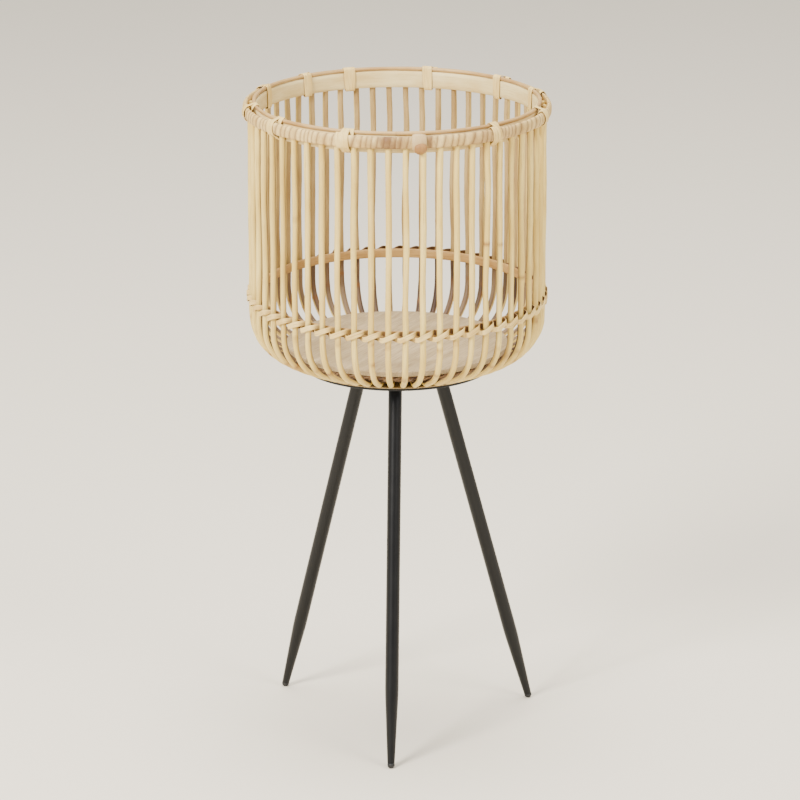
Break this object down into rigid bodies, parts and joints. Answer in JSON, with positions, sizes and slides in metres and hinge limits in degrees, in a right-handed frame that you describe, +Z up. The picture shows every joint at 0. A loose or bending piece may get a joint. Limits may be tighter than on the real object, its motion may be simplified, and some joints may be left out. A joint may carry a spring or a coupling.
{
  "type": "basket plant stand",
  "caption": "Open round plant basket of upright rattan canes with a lashed rim and twined lower hoop, on a black steel plate with tapered screw-in legs.",
  "frame": {"origin": "on the floor, under the basket's axis, level with the flats of the foot glides", "axes": "+Z up the basket's axis; -Y towards the front, 2.4 degrees from the front leg"},
  "size_m": [0.3115, 0.3121, 0.6647],
  "materials": {
    "rattan_pale": "peeled rattan cane, semi-matt, with nodes and faint grain",
    "rattan_tan": "rattan skin, semi-matt, darker and streaked",
    "rattan_brown": "unpeeled rattan, brown and matt, woven with fibre",
    "bamboo_band": "split bamboo, smooth and slightly glossy with fine grain",
    "lashing_strip": "split rattan strip, semi-matt",
    "plywood": "thin plywood, matt, fine grey-beige grain",
    "timber": "sawn softwood, matt",
    "black_paint": "satin black powder coat",
    "zinc_steel": "bright zinc plate",
    "black_plastic": "black moulded plastic, slightly worn",
    "black_nylon": "black nylon, smooth"
  },
  "bodies": {
    "basket": {"stake_pair_01": "rattan_pale", "stake_pair_02": "rattan_pale", "stake_pair_03": "rattan_pale", "stake_pair_04": "rattan_pale", "stake_pair_05": "rattan_pale", "stake_pair_06": "rattan_pale", "stake_pair_07": "rattan_pale", "stake_pair_08": "rattan_pale", "stake_pair_09": "rattan_pale", "stake_pair_10": "rattan_pale", "stake_pair_11": "rattan_pale", "stake_pair_12": "rattan_pale", "stake_pair_13": "rattan_pale", "stake_pair_14": "rattan_pale", "stake_pair_15": "rattan_pale", "stake_pair_16": "rattan_pale", "stake_pair_17": "rattan_pale", "stake_pair_18": "rattan_pale", "stake_pair_19": "rattan_pale", "stake_pair_20": "rattan_pale", "stake_pair_21": "rattan_pale", "stake_pair_22": "rattan_pale", "stake_pair_23": "rattan_pale", "stake_pair_24": "rattan_pale", "stake_pair_25": "rattan_pale", "stake_pair_26": "rattan_pale", "stake_pair_27": "rattan_pale", "rim_outer_band": "rattan_tan", "rim_inner_band": "bamboo_band", "rim_top_cane": "rattan_tan", "rim_lashing": "lashing_strip", "lower_hoop": "rattan_tan", "twine_strand_a": "lashing_strip", "twine_strand_b": "lashing_strip", "base_hoop": "rattan_brown", "base_strand_a": "rattan_brown", "base_strand_b": "rattan_brown", "floor_disc": "plywood", "base_core": "timber", "base_disc": "plywood", "base_plate": "black_paint", "basket_screw_1": "zinc_steel", "basket_screw_2": "zinc_steel", "basket_screw_3": "zinc_steel", "leg_boss_1": "black_paint", "leg_boss_2": "black_paint", "leg_boss_3": "black_paint"},
    "washer_1": {"leg_washer_1": "black_nylon"},
    "leg_1": {"leg_tube_1": "black_paint", "leg_stud_1": "zinc_steel", "foot_glide_1": "black_plastic"},
    "washer_2": {"leg_washer_2": "black_nylon"},
    "leg_2": {"leg_tube_2": "black_paint", "leg_stud_2": "zinc_steel", "foot_glide_2": "black_plastic"},
    "washer_3": {"leg_washer_3": "black_nylon"},
    "leg_3": {"leg_tube_3": "black_paint", "leg_stud_3": "zinc_steel", "foot_glide_3": "black_plastic"}
  },
  "joints": [
    {"name": "leg_1_withdraw", "type": "slide", "parent": "basket", "child": "washer_1", "axis": [-0.0113, -0.2704, -0.9627], "range_m": [0, 0.012]},
    {"name": "leg_1_unscrew", "type": "hinge", "parent": "washer_1", "child": "leg_1", "pos_m": [-0.00191, -0.04557, 0.37207], "axis": [-0.0113, -0.2704, -0.9627], "range_deg": [0, 3456]},
    {"name": "leg_2_withdraw", "type": "slide", "parent": "basket", "child": "washer_2", "axis": [0.2509, 0.1014, -0.9627], "range_m": [0, 0.012]},
    {"name": "leg_2_unscrew", "type": "hinge", "parent": "washer_2", "child": "leg_2", "pos_m": [0.04229, 0.01709, 0.37207], "axis": [0.2509, 0.1014, -0.9627], "range_deg": [0, 3456]},
    {"name": "leg_3_withdraw", "type": "slide", "parent": "basket", "child": "washer_3", "axis": [-0.2161, 0.1629, -0.9627], "range_m": [0, 0.012]},
    {"name": "leg_3_unscrew", "type": "hinge", "parent": "washer_3", "child": "leg_3", "pos_m": [-0.03642, 0.02745, 0.37207], "axis": [-0.2161, 0.1629, -0.9627], "range_deg": [0, 3456]}
  ],
  "couplings": [
    {"joint": "leg_1_unscrew", "follows": "leg_1_withdraw", "rad_per_m": 5026.5},
    {"joint": "leg_2_unscrew", "follows": "leg_2_withdraw", "rad_per_m": 5026.5},
    {"joint": "leg_3_unscrew", "follows": "leg_3_withdraw", "rad_per_m": 5026.5}
  ]
}
